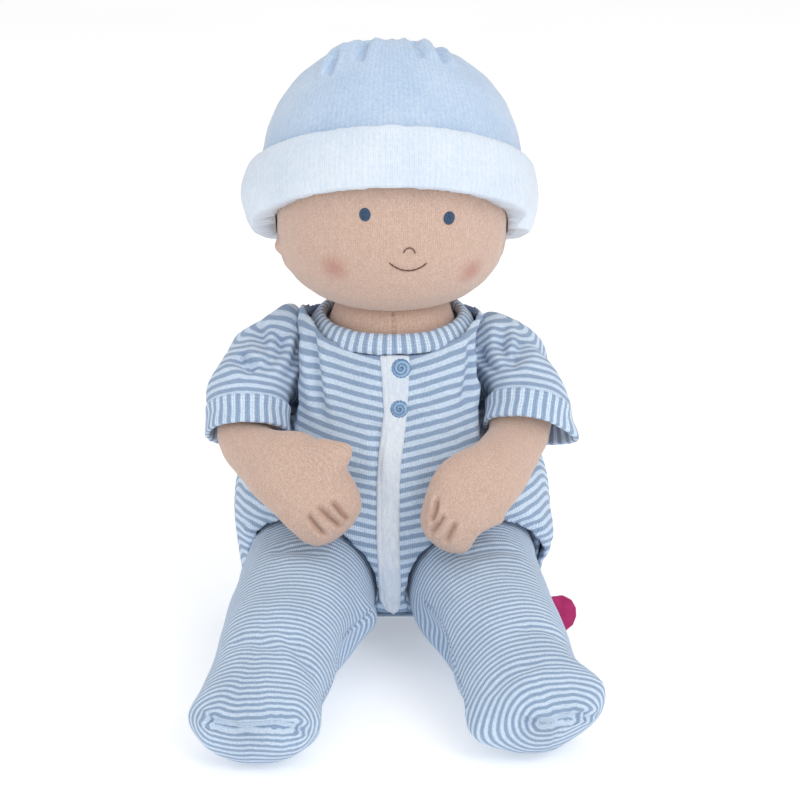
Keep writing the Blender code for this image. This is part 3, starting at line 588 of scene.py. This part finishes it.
DARK_STRIPE, LIGHT_STRIPE = tint(152, 176, 206), tint(216, 234, 254)
BLUSH = (((-25.7, 10.3, 184.4), 4.6), ((35.2, 18.6, 180.8), 4.6))
LOOK = {
    "body": striped("jersey_body", 4.4, DARK_STRIPE, LIGHT_STRIPE, 400),
    "leg": striped("jersey_leg", LEG_PITCH, DARK_STRIPE, LIGHT_STRIPE, 200),
    "sleeve": striped("jersey_sleeve", 3.8, DARK_STRIPE, LIGHT_STRIPE, 130),
    "cuff": striped("jersey_cuff", 4.2, DARK_STRIPE, LIGHT_STRIPE, 112, around=28),
    "collar": striped("jersey_collar", 4.2, DARK_STRIPE, LIGHT_STRIPE, 208, around=52),
    "face": skin("skin_knit_face", 330, BLUSH),
    "skin": skin("skin_knit", 90),
    "velour": velour("blue_velour", tint(177, 200, 228), tint(204, 221, 241), 360, 150),
    "brim": velour("white_knit", tint(212, 225, 241), tint(230, 239, 249), 380, 160),
    "placket": velour("white_rib", tint(214, 226, 242), tint(240, 246, 252), 60, 0),
    "navy": thread("navy_thread", tint(30, 52, 80), tint(70, 100, 134), 0.45, (0.3, 0.0, 1.0)),
    "brown": thread("brown_thread", tint(80, 50, 44), tint(128, 88, 78), 0.5),
    "crochet": thread("blue_crochet", tint(72, 118, 168), tint(138, 178, 216), 0.45),
    "crochet_ground": thread("crochet_ground", tint(138, 176, 214), tint(192, 216, 240), 0.6),
    "label": plain_weave("crimson_label", tint(165, 30, 90), tint(206, 62, 124), 0.5),
    "gusset": plain_weave("gusset_cloth", tint(186, 192, 204), tint(214, 219, 228), 0.6),
    "case": moulded("case_plastic", tint(226, 226, 220), tint(236, 236, 231), 0.45),
    "button": moulded("button_plastic", tint(196, 70, 58), tint(214, 86, 70), 0.35),
    "speaker": moulded("speaker_plastic", tint(30, 30, 32), tint(46, 46, 48), 0.5),
    "board": moulded("board_green", tint(22, 84, 50), tint(34, 104, 62), 0.4),
    "steel": moulded("steel", tint(160, 160, 164), tint(190, 190, 194), 0.3, metallic=1.0),
}


def dress(obj, look, body):
    """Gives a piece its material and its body."""
    obj.data.materials.clear()
    obj.data.materials.append(LOOK[look])
    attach(obj, body)
    return obj


# Head


def make_head():
    obj = soft("head", "head_skin", 1.3, 14)
    points = points_of(obj)
    away = points - HEAD_CENTRE
    out = unit(away)
    lumps(points, out, 30.0, 0.5, 3)
    # The side seams gather a little at the cheek, like a small ear.
    for side, z in ((-1, 194.0), (-1, 183.0), (1, 190.0)):
        crease(points, out, [(side * 52, 56, z + 4), (side * 53, 46, z), (side * 47, 36, z - 4)], 2.0, 1.2)
    swell(points, (3.0, 0.0, 0.0), (-54.0, 48.0, 197.0), 11.0)
    swell(points, (-3.0, 0.0, 0.0), (54.0, 48.0, 196.0), 11.0)
    swell(points, (-1.8, -0.6, 0.0), (-50.0, 40.0, 187.0), 4.5)
    set_points(obj, points)
    store(obj, "weave", np.stack([away[:, 1], away[:, 0], points[:, 2]], 1))
    return dress(obj, "face", "head")


def tree_of(obj):
    """The surface of a piece, to measure against."""
    polygons = [tuple(p.vertices) for p in obj.data.polygons]
    return BVHTree.FromPolygons([Vector(p) for p in points_of(obj)], polygons)


def caster(obj):
    """A function from (x, z) to the place that far off the surface in front."""
    tree = tree_of(obj)

    def at(x, z, off):
        hit, normal, _, _ = tree.ray_cast(Vector((x, -300.0, z)), Vector((0.0, 1.0, 0.0)))
        if hit is None:
            hit, normal, _, _ = tree.find_nearest(Vector((x, 0.0, z)))
        if normal.y > 0:
            normal = -normal
        return np.array(hit) + np.array(normal) * off

    return at


def make_face(at):
    """Satin-stitched eyes, and the nose and smile in stem stitch, laid on the face."""
    half_width, half_height, stitch = 2.5, 3.0, 0.55
    turns = np.linspace(0, 2 * math.pi, 40, endpoint=False)
    for name, (x, z) in {"eye_right": (-11.8, 210.6), "eye_left": (25.0, 208.0)}.items():
        rows = []
        for share in np.linspace(0.0, 1.0, 12):
            dome = 0.55 * math.sqrt(max(0.0, 1 - share**2))
            row = []
            for turn in turns:
                ex = x + half_width * share * math.cos(turn)
                ez = z + half_height * share * math.sin(turn)
                ridge = 0.1 * math.sin((ez * 0.95 + ex * 0.3) * 2 * math.pi / stitch)
                row.append(at(ex, ez, 0.15 + dome + ridge * (1 - share**4)))
            rows.append(row)
        rows.append([at(x + half_width * math.cos(t), z + half_height * math.sin(t), -0.4) for t in turns])
        eye = grid_mesh(name + "_satin", rows, closed=True, capped=True)
        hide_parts(name)
        dress(eye, "navy", "head")
    arch = curved([(5.0, 193.4), (6.0, 195.0), (7.7, 195.7), (9.3, 194.9), (10.2, 193.2)], 14)
    turn = np.linspace(-1, 1, 90)
    smile = np.stack([7.0 + 8.2 * turn, 184.9 + 3.5 * turn**2 - 0.3 * turn], -1)
    for name, path, radius, pitch in (("nose_stitch", arch, 0.3, 2.2), ("mouth_stitch", smile, 0.34, 2.6)):
        line = [at(x, z, 0.25) for x, z in path]
        run = np.concatenate([[0.0], np.cumsum(np.linalg.norm(np.diff(path, axis=0), axis=1))])
        radii = radius * (0.72 + 0.28 * abs(np.sin(run * math.pi / pitch)) ** 0.6)
        line_piece = tube(name + "_thread", line, radii)
        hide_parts(name)
        dress(line_piece, "brown", "head")


def make_neck():
    obj = soft("neck", "neck_skin", 1.1, 10)
    points = points_of(obj)
    out = unit(points - NECK_CENTRE)
    _, y, z = NECK_CENTRE
    store(obj, "weave", np.stack([points[:, 1] - y, points[:, 0], points[:, 2]], 1))
    seam = [(0.3, y - NECK_RADIUS * math.cos(t), z + NECK_RADIUS * math.sin(t))
            for t in np.radians([-8, 5, 18, 32, 46])]
    crease(points, out, seam, 0.9, 1.0, stitch=3.0, fade=0.0)
    set_points(obj, points)
    return dress(obj, "skin", "neck")


# Hat

HAT_CENTRE = np.array([0.0, 52.0, 207.0])
HAT_UP = np.array([0.0, math.sin(math.radians(31)), math.cos(math.radians(31))])
HAT_BACK = np.array([0.0, HAT_UP[2], -HAT_UP[1]])


def hat_frame(points):
    """Places seen from the hat: to the left, back and up."""
    away = points - HAT_CENTRE
    return np.stack([away[:, 0], away @ HAT_BACK, away @ HAT_UP], 1)


def make_hat(skull):
    crown = soft("hat_crown", "hat_crown_velour", 1.3, 14)
    points = points_of(crown)
    local = hat_frame(points)
    turn = np.arctan2(local[:, 1], local[:, 0])
    flat = np.hypot(local[:, 0], local[:, 1])
    out = unit(points - (HAT_CENTRE + HAT_UP * 10))
    store(crown, "weave", local)
    # The top is drawn together: folds of uneven depth run out from the middle.
    draw = np.zeros(len(points))
    angles = np.radians([-138, -163, -40, -24, 15, 48, 82, 118, 150])
    depths = (3.2, 3.0, 3.0, 2.6, 2.4, 2.6, 2.2, 2.6, 2.4)
    for k, (angle, deep) in enumerate(zip(angles, depths)):
        gap = abs((turn - angle + math.pi) % (2 * math.pi) - math.pi) * np.maximum(flat, 3.0)
        draw -= deep * bell(gap, 2.6) * bell(flat, 26.0 + 4 * (k % 3))
        draw += 0.45 * deep * bell(gap - 6.0, 3.6) * bell(flat, 24.0)
    top = local[:, 2] > 20
    draw -= 4.0 * bell(flat, 6.0)
    points += out * (draw * top)[:, None]
    for centre, lift, reach in (((-22, 54, 273), 3.2, 7.0), ((-6, 52, 277), 2.2, 10.0)):
        swell(points, (0.0, 0.4, lift), centre, reach)
    for stations in (
        [(-29, 38, 264), (-26, 48, 270), (-20, 60, 273)],
        [(-15, 38, 272), (-13, 50, 275), (-9, 62, 277)],
        [(13, 42, 272), (11, 54, 276), (8, 66, 276)],
        [(24, 44, 270), (21, 57, 274), (17, 68, 273)],
    ):
        crease(points, out, stations, 2.0, 3.0, lip=0.5)
    lumps(points, out, 26.0, 1.2, 5)
    # The crown goes in with the brim that lies on it.
    shape(points, "hat_brim")
    set_points(crown, points)
    dress(crown, "velour", "hat")

    brim = soft("hat_brim", "hat_brim_knit", 1.2, 26)
    points = points_of(brim)
    local = hat_frame(points)
    store(brim, "weave", local)
    out = unit(np.outer(local[:, 0], (1, 0, 0)) + np.outer(local[:, 1], HAT_BACK))
    outer = ease((np.hypot(local[:, 0] / 62, local[:, 1] / 59) - 1.0) * 40)
    rise = np.array([noise.noise(Vector(p / 16.0)) for p in points])
    points += out * (outer * rise * 0.9)[:, None]
    shape(points, "hat_brim")
    # Its lower edge rolls in until it rests on the head.
    rest = 0.8  # how far off the head it stays
    inside = ease(-(normals_of(brim) * out).sum(1) * 2) * ease((local[:, 2].min() + 16 - local[:, 2]) / 9)
    for k in np.where(inside > 0.02)[0]:
        hit, _, _, gap = skull.find_nearest(Vector(points[k]))
        if rest < gap < 12.0:
            points[k] += (np.array(hit) - points[k]) * inside[k] * (1 - rest / gap)
    set_points(brim, points)
    dress(brim, "brim", "hat")


# Romper


def close_sockets(points):
    """Draws the cloth of the trunk in round the limbs that are sewn to it."""
    for name, side in SIDES:
        for centre, radius in ((ARM_LINE[name][0], SLEEVE_BALL), (LEG_LINE[name][0], HIP_BALL)):
            away = points - sided(centre, side)
            gap = np.linalg.norm(away, axis=1)
            pull = 3.1 * bell(gap - radius - 2.2, 4.0) * (gap > radius)
            points -= away / gap[:, None] * pull[:, None]


def trunk_weave(points):
    """Rows of the trunk's jersey: level, but drawn down to the middle of the front."""
    drawn = 0.2 * abs(points[:, 0] - 0.5) * ease((60 - points[:, 1]) / 30)
    return np.stack([points[:, 1] - 50, points[:, 0], points[:, 2] - drawn], 1)


def make_body():
    obj = soft("romper_body", "romper_body_jersey", 1.4, 10)
    points = points_of(obj)
    out = unit((points - TRUNK_CENTRE) * [1.0, 1.4, 0.0])
    store(obj, "weave", trunk_weave(points))
    shape(points, "romper_body")
    close_sockets(points)
    lumps(points, out, 24.0, 0.9, 11)
    for side in (-1, 1):
        side_seam = [(side * 74, 49, 80), (side * 74, 49, 50), (side * 70, 49, 20)]
        crease(points, out, side_seam, 0.9, 0.8, stitch=3.2)
    # The cloth is drawn in along the armholes.
    crease(points, out, [(-37, 40, 149), (-38, 26, 141), (-37, 18, 130), (-33, 10, 112)], 2.6, 3.2)
    crease(points, out, [(35, 42, 149), (36, 33, 142), (36.5, 24, 132), (34, 13, 118)], 2.6, 3.2)
    for stations in (
        [(-69, 28, 46), (-60, 6, 53), (-50, -2, 58)],
        [(-71, 30, 58), (-62, 8, 62), (-50, -1, 64)],
        [(69, 26, 57), (61, 8, 62), (48, -1, 64)],
        [(72, 40, 44), (68, 20, 50), (60, 6, 56)],
        [(-8, -3, 118), (-6, -4, 100), (-9, -4, 84)],
    ):
        crease(points, out, stations, 2.2, 1.3)
    set_points(obj, points)
    return dress(obj, "body", "trunk")


def make_sleeves():
    folds = {
        "right": [
            ([(-42, 47, 142), (-43.5, 39, 136), (-45, 32, 130), (-45, 26, 124)], 2.25, 3.06),
            ([(-51, 46, 145), (-51, 38, 141), (-52.6, 30, 136), (-55, 22, 131)], 2.25, 3.74),
            ([(-70, 33, 137), (-63.5, 25, 136), (-58, 21, 132)], 2.7, 4.42),
            ([(-62, 56, 145), (-58, 36, 140), (-57.6, 22.5, 133)], 2.7, 3.4),
        ],
        "left": [
            ([(40, 42, 140), (40, 36, 135), (44, 25, 128)], 2.25, 3.06),
            ([(50.5, 50, 146), (51, 37.5, 140), (51.6, 25, 135)], 2.25, 3.74),
            ([(62, 42, 142), (56, 30, 138), (47.3, 23, 130)], 2.7, 3.74),
        ],
    }
    for name, side in SIDES:
        obj = soft(f"romper_sleeve_{name}", f"romper_sleeve_{name}_jersey", 1.1, 8)
        points = points_of(obj)
        top = sided(ARM_LINE[name][0], side)
        weave, out = limb_weave(points, sided(ARM_LINE[name][:5], side), ARM_FACING)
        axis = unit(sided(CUFF_AXIS[name], side))
        weave[:, 2] = (points - sided(ARM_LINE[name][3], side)) @ axis
        # Behind, the rows come to the armhole level, as the trunk's do.
        rear = unit(np.array([side * 0.6, 0.1, -0.8]))
        behind = ease((points[:, 1] - 36) / 22)
        weave[:, 2] += behind * ((points - top) @ (rear - axis))
        store(obj, "weave", weave)
        near = ease((35 - np.linalg.norm(points - top, axis=1)) / 10)[:, None]
        out = unit(out * (1 - near) + unit(points - top) * near)
        shape(points, f"romper_sleeve_{name}")
        lumps(points, out, 15.0, 0.8, 17 + side)
        for stations, width, depth in folds[name]:
            crease(points, out, stations, width, depth)
        reach = 0.75 * (sided(CUFF_CENTRE, side) - top) @ axis
        hang(points, name, side, ease((points - top) @ axis / reach))
        set_points(obj, points)
        dress(obj, "sleeve", f"arm_{name}")
        make_cuff(name, side)


def make_cuff(name, side):
    """The turned-up end of a sleeve; the left one flares."""
    obj = soft(f"cuff_{name}", f"cuff_{name}_jersey", 0.8, 4)
    points = points_of(obj)
    axis = unit(sided(CUFF_AXIS[name], side))
    away = points - points.mean(0)
    height = away @ axis
    across = unit(np.cross(axis, ARM_FACING))
    store(obj, "weave", np.stack([away @ across, away @ np.cross(across, axis), height], 1))
    out = unit(away - height[:, None] * axis)
    # Its upper edge lies further up the sleeve, and outside it.
    upper = ease((height.min() + 3.0 - height) / 3.0)[:, None]
    points += upper * (out * 0.8 - axis * 3.0)
    lumps(points, out, 9.0, 0.7, 23 + side)
    if side > 0:
        swell(points, (5.5, -0.5, 0.5), (81.0, 20.0, 108.0), 9.0)
    hang(points, name, side, 1.0)
    set_points(obj, points)
    return dress(obj, "cuff", f"arm_{name}")


def make_legs():
    mouths = {
        "right": [
            (-80, -107, 24), (-74, -115, 24.4), (-65, -119, 24), (-50, -119.5, 25), (-41, -117.5, 23.5),
            (-34, -113, 19),
        ],
        "left": [(53, -113, 24.5), (62, -112.5, 22.2), (70, -110.6, 23.6), (77.5, -107, 23), (86, -99, 20.5)],
    }
    seams = {
        "right": [
            (-8, -20, 35), (-16, -40, 31.5), (-23, -63, 28), (-27, -76, 23), (-30, -99, 21), (-33, -112, 19),
        ],
        "left": [
            (12, -20, 38), (19.6, -42, 36), (25, -60, 31), (28.4, -73, 25), (30.7, -90, 22.4), (33, -104, 20),
        ],
    }
    folds = {
        "right": [
            [(-47.5, -70, 47.4), (-39.5, -82, 40), (-32.7, -89, 31)],
            [(-72, -72, 40), (-60, -78, 44.5), (-46, -84, 43.5)],
            [(-60, -10, 62), (-42, -14, 62), (-28, -18, 58)],
        ],
        "left": [
            [(38, -103, 29.3), (46.4, -99, 35), (54.6, -94, 38.5), (66, -86, 39)],
            [(78, -66, 36), (66, -66, 45), (52, -72, 46)],
            [(62, -8, 62), (46, -13, 62), (30, -18, 58)],
        ],
    }
    for name, side in SIDES:
        obj = soft(f"romper_leg_{name}", f"romper_leg_{name}_jersey", 1.3, 12)
        points = points_of(obj)
        weave, out = limb_weave(points, sided(LEG_LINE[name], side), cap=TOE)
        # At the toe the rows run round the line where the foot is sewn shut, and blend into the leg's.
        gap = MOUTH_ROWS * beside(points, laid(points, mouths[name][1:-1]))[0]
        end, blend = 35, 1.5
        upper = (gap > 27) & (gap < end) & (points[:, 2] > 30)
        reach = np.median(weave[upper, 2] + gap[upper])
        rows = np.stack([weave[:, 2] + 24 * ease((end - gap) / 20), reach - gap])
        weave[:, 2] = -blend * np.log(np.exp(-(rows - reach) / blend).sum(0))
        weave[:, 2] += 0.9 * LEG_PITCH  # a dark stripe closes the mouth
        store(obj, "weave", spread(obj, weave, 1))
        ankle, toe = sided(LEG_LINE[name][-2:], side)
        tip = unit(toe - ankle)
        past = ease(((points - toe) @ tip - 4) / 12)[:, None]
        out = unit(out * (1 - past) + tip * past)
        above = ease((points[:, 2] - 4) / 8)[:, None]  # what lies on the floor stays level
        shape(points, f"romper_leg_{name}")
        moved = points.copy()
        lumps(moved, out, 22.0, 1.0, 31 + side)
        for stations in folds[name]:
            crease(moved, out, stations, 3.2, 1.0)
        crease(moved, out, seams[name], 0.9, 1.0, stitch=3.2, fade=0.05)
        crease(moved, out, mouths[name], 1.4, 3.0, lip=0.4, fade=0.1)
        points += (moved - points) * above
        set_points(obj, points)
        dress(obj, "leg", f"leg_{name}")


def make_collar():
    obj = soft("collar_band", "collar_band_jersey", 0.8, 4)
    points = points_of(obj)
    away = points - COLLAR_CENTRE
    store(obj, "weave", np.stack([away[:, 1], away[:, 0], np.hypot(away[:, 0], away[:, 1])], 1))
    points += normals_of(obj) * 0.7
    lumps(points, np.tile([0.0, 0.0, 1.0], (len(points), 1)), 12.0, 0.5, 41)
    set_points(obj, points)
    return dress(obj, "collar", "trunk")


def make_placket(at):
    """A narrow band down the front with rounded edges and a stitched line."""
    heights = np.linspace(141.0, 25.6, 150)
    middle = np.interp(heights, [24.5, 32, 62, 84, 96, 106, 118, 130, 141],
                       [0.6, -0.8, -1.8, -1.8, -1.1, 0.3, 1.6, 1.6, 1.2])
    half = np.interp(heights, [25.6, 26.2, 28, 32, 40, 118, 134, 141],
                     [0.8, 2.4, 3.6, 4.6, 5.1, 5.3, 6.2, 6.6])
    stitch_at, stitch_width, turn = -0.62, 0.5, 1.3
    shares = np.concatenate([[-1.0], np.linspace(-1, 1, 25), [1.0]])
    rows = []
    weave = []
    for z, x, h in zip(heights, middle, half):
        row = []
        for k, share in enumerate(shares):
            if k in (0, len(shares) - 1):
                lift = -0.3  # the edges go under the body's cloth
            else:
                lift = 0.5 + 0.95 * (1 - abs(share) ** 6)
                lift -= 0.45 * math.exp(-(((share - stitch_at) * h / stitch_width) ** 2))
                lift += 0.18 * noise.noise(Vector((share * 2, z / 7, 4.0)))
            row.append(at(x + h * share, z, lift))
            weave.append((math.cos(share * turn) * 5, math.sin(share * turn) * 5, z))
        rows.append(row)
    obj = grid_mesh("placket_band", rows)
    store(obj, "weave", weave)
    solidify = obj.modifiers.new("back", "SOLIDIFY")
    solidify.thickness = 0.3 * MM
    solidify.offset = -1
    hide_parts("placket")
    return dress(obj, "placket", "trunk")


def make_rosettes(at):
    """Crocheted buttons: a rope of small knots wound outward on a domed base."""
    sides, winding, border = 32, 260, 90  # points round the base, along the rope and round the rim
    for name, x, z, r in (("button_upper", 4.0, 136.4, 4.1), ("button_lower", 3.1, 119.0, 3.7)):
        centre = at(x, z, 0.0)
        back = centre - at(x, z, 1.0)
        normal = -unit(back)
        across = unit(np.cross(normal, (0.0, 0.0, 1.0)))
        over = np.cross(across, normal)

        def place(turn, radius, lift):
            return centre + across * math.cos(turn) * radius + over * math.sin(turn) * radius + normal * lift

        ring = np.linspace(0, 2 * math.pi, sides, endpoint=False)
        base = []
        for share, lift in ((0.86, 0.6), (0.98, 1.3), (0.92, 2.0), (0.6, 2.6), (0.12, 2.9)):
            base.append([place(t, r * share, lift) for t in ring])
        dome = grid_mesh(name + "_base", base, closed=True, capped=True)
        turns = np.linspace(0.4, 2 * math.pi * 2.4, winding)
        line = [place(t, r * 0.92 * t / turns[-1], 3.05 - 1.2 * (t / turns[-1]) ** 2.5) for t in turns]
        knots = 0.36 + 0.12 * np.sin(np.arange(winding) * 2 * math.pi / 7.0)
        rope = tube(name + "_rope", line, knots)
        rim = [place(t, r * 0.96, 1.25) for t in np.linspace(0, 2 * math.pi, border)]
        edge = tube(name + "_rim", rim, 0.45 + 0.13 * np.sin(np.arange(border) * 2 * math.pi / 6))
        rosette = join(name + "_rosette", [dome, rope, edge])
        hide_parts(name)
        base_faces = (len(base) - 1) * sides + 2
        dress(rosette, "crochet", "trunk")
        rosette.data.materials.append(LOOK["crochet_ground"])
        for polygon in rosette.data.polygons[:base_faces]:
            polygon.material_index = 1


def make_label():
    """The tape's folded loop, slightly wavy."""
    obj = soft("side_label", "side_label_tape", 0.45, 2)
    points = points_of(obj)
    points[:, 1] += 0.7 * np.sin((points[:, 0] - 70) / 4.5) + 0.4 * np.sin(points[:, 2] / 5)
    set_points(obj, points)
    return dress(obj, "label", "leg_left")


# Arms


def make_arms():
    fingers = {
        "right": [
            [(-36.5, -26.8, 81.6), (-32.9, -26.2, 76.0), (-29.6, -27, 72.0)],
            [(-32.3, -26.1, 84.6), (-27.0, -25.8, 79.7), (-23.0, -25.3, 75.4)],
            [(-26.1, -24.4, 86.4), (-22.4, -24.9, 81.4), (-19.8, -22.8, 78.2)],
        ],
        "left": [
            [(21.6, -23.6, 87.5), (19.4, -26, 82.8), (17.4, -26.1, 79.1)],
            [(23.2, -27.1, 81.1), (19.4, -26, 76.1), (17.4, -25, 72.4)],
            [(28.6, -28.7, 78.3), (25.7, -29.1, 73.4), (24, -27.8, 69.4)],
        ],
    }
    for name, side in SIDES:
        obj = soft(f"{name}_arm", f"{name}_arm_skin", 0.9, 20)
        points = points_of(obj)
        weave, away = limb_weave(points, sided(ARM_LINE[name], side), ARM_FACING)
        store(obj, "weave", weave)
        out = normals_of(obj)
        # Thinner where the sleeve hides it, to leave room for the folds.
        points -= away * (3.0 * ease((26.0 - weave[:, 2]) / 6.0))[:, None]
        lumps(points, out, 16.0, 0.5, 47 + side)
        for stations in fingers[name]:
            # The lines between the fingers run on a little, since their ends fade.
            first, *between, last = (np.array(p) for p in stations)
            more = 0.2 * (last - first)
            line = [first - more, *between, last + more]
            crease(points, out, line, 1.2, 3.0, lip=0.45, fade=0.25)
        shape(points, f"{name}_arm")
        set_points(obj, points)
        dress(obj, "skin", f"arm_{name}")


# Inside


def make_inside():
    # What lies under the romper shows in the folds at the limbs, so it wears the same jersey.
    torso = soft("torso", "torso_padding", 1.8, 4)
    store(torso, "weave", trunk_weave(points_of(torso)))
    dress(torso, "body", "trunk")
    for name, side in SIDES:
        stuffing = soft(f"{name}_leg", f"{name}_leg_stuffing", 1.8, 4)
        points = points_of(stuffing)
        store(stuffing, "weave", limb_weave(points, sided(LEG_LINE[name], side), cap=TOE)[0])
        shape(points, f"romper_leg_{name}")
        # The toe is drawn back, to leave room for the line where the foot is sewn shut.
        ankle, toe = sided(LEG_LINE[name][-2:], side)
        swell(points, unit(ankle - toe) * 6.0, toe + unit(toe - ankle) * TOE, 18.0)
        set_points(stuffing, points)
        dress(stuffing, "leg", f"leg_{name}")
        for joint in ("shoulder", "hip"):
            gusset = soft(f"{joint}_gusset_{name}", f"{joint}_gusset_{name}_cloth", 0.6, 2)
            dress(gusset, "gusset", f"{joint}_{name}")
    # The module's hard parts keep their CAD meshes.
    finishes = {
        "module_front": "case", "module_back": "case", "battery_door": "case", "voice_button": "button",
        "speaker": "speaker", "circuit_board": "board", "cell_1": "steel", "cell_2": "steel",
        "door_screw": "steel", "button_spring": "steel",
    }
    for node, look in finishes.items():
        mesh = frame["nodes"][node].data
        mesh.materials.clear()
        mesh.materials.append(LOOK[look])


head = make_head()
make_face(caster(head))
make_neck()
make_hat(tree_of(head))
body = make_body()
front = caster(body)
make_sleeves()
make_legs()
make_collar()
make_placket(front)
make_rosettes(front)
make_label()
make_arms()
make_inside()


# Floor, light and camera


def make_stage():
    half = 6000
    floor = grid_mesh("floor", [[(x, y, 0.0) for x in (-half, half)] for y in (-half, half)])
    surface = Shade("pale_floor", 0.9, specular=0.1)
    speck = surface.ramp(surface.noise(400.0, 2.0), 0.3, 0.7)
    colour = surface.mix(speck, (0.9, 0.9, 0.9), (0.92, 0.92, 0.92))
    surface.shader.inputs["Emission Color"].default_value = (1.0, 1.0, 1.0, 1.0)
    surface.shader.inputs["Emission Strength"].default_value = 0.3
    floor.data.materials.append(surface.finish(colour, surface.noise(60.0, 2.0), 0.02, 0.1))
    world = bpy.data.worlds.new("studio")
    world.use_nodes = True
    world.node_tree.nodes["Background"].inputs["Color"].default_value = (1.0, 1.0, 1.0, 1.0)
    world.node_tree.nodes["Background"].inputs["Strength"].default_value = 0.7
    bpy.context.scene.world = world
    # Places and sizes in metres, power in watts
    for name, place, size, power in (
        ("key", (1.0, -1.2, 1.3), 1.1, 11.0),
        ("fill", (-1.4, -0.9, 0.9), 1.2, 2.5),
        ("top", (0.0, 0.2, 1.7), 1.2, 3.0),
    ):
        lamp = bpy.data.lights.new(name, "AREA")
        lamp.size = size
        lamp.energy = power
        holder = bpy.data.objects.new(name, lamp)
        holder.location = place
        holder.rotation_mode = "QUATERNION"
        aim = Vector((0.0, 0.03, 0.12)) - holder.location
        holder.rotation_quaternion = aim.to_track_quat("-Z", "Y")
        bpy.context.scene.collection.objects.link(holder)
    bpy.context.scene.view_settings.view_transform = "Standard"


def make_camera():
    """At the photograph's height and distance, looking at the middle of the doll."""
    elevation, distance = math.radians(18.0), 1.1
    target = Vector((0.0, 0.034, 0.12))
    camera = bpy.data.cameras.new("camera")
    camera.sensor_width = 36.0
    camera.lens = 107.6
    camera.shift_x = 0.01
    camera.shift_y = -0.0125
    holder = bpy.data.objects.new("camera", camera)
    back = Vector((0.0, -math.cos(elevation), math.sin(elevation)))
    holder.location = target + back * distance
    holder.rotation_mode = "QUATERNION"
    holder.rotation_quaternion = (-back).to_track_quat("-Z", "Y")
    bpy.context.scene.collection.objects.link(holder)
    bpy.context.scene.camera = holder


make_stage()
make_camera()
